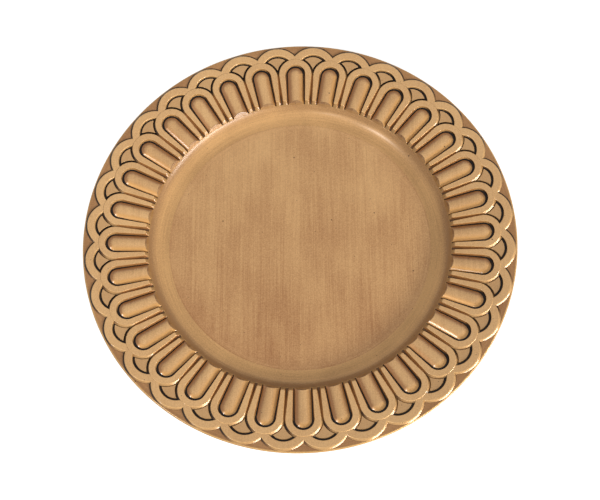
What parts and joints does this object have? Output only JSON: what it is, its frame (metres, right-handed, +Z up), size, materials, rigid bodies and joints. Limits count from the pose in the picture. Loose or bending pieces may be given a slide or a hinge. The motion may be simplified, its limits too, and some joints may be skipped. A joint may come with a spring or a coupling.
{
  "type": "charger plate",
  "caption": "Round charger plate with a flat recessed well and a broad sloping rim raised in rounded arches, overlapping scales and tongues.",
  "frame": {"origin": "on the plate's axis, at the level of the table that the foot ring stands on", "axes": "+Z up along the plate's axis, +X along the middle of one arch"},
  "size_m": [0.33, 0.33, 0.0221],
  "materials": {
    "floor_gold": "satin antique-gold lacquer, brushed one way with a brown glaze",
    "wall_gold": "satin antique-gold lacquer, glaze wiped back at the lip",
    "ground_gold": "antique-gold lacquer under a dark brown glaze that stays in the grooves",
    "edge_gold": "antique-gold lacquer, rubbed bright",
    "underside_gold": "plain antique-gold lacquer",
    "band_gold": "antique-gold lacquer, glaze wiped off the flat tops",
    "tongue_gold": "antique-gold lacquer, glaze left along the flanks",
    "scale_gold": "antique-gold lacquer, glaze wiped off the flat tops",
    "fan_gold": "antique-gold lacquer, lightly glazed"
  },
  "bodies": {
    "root": {"well_floor": "floor_gold", "well_wall": "wall_gold", "rim": "ground_gold", "rim_edge": "edge_gold", "foot_ring": "underside_gold", "arch_bands": "band_gold", "tongues": "tongue_gold", "scale_ring": "scale_gold", "fans": "fan_gold"}
  },
  "joints": []
}
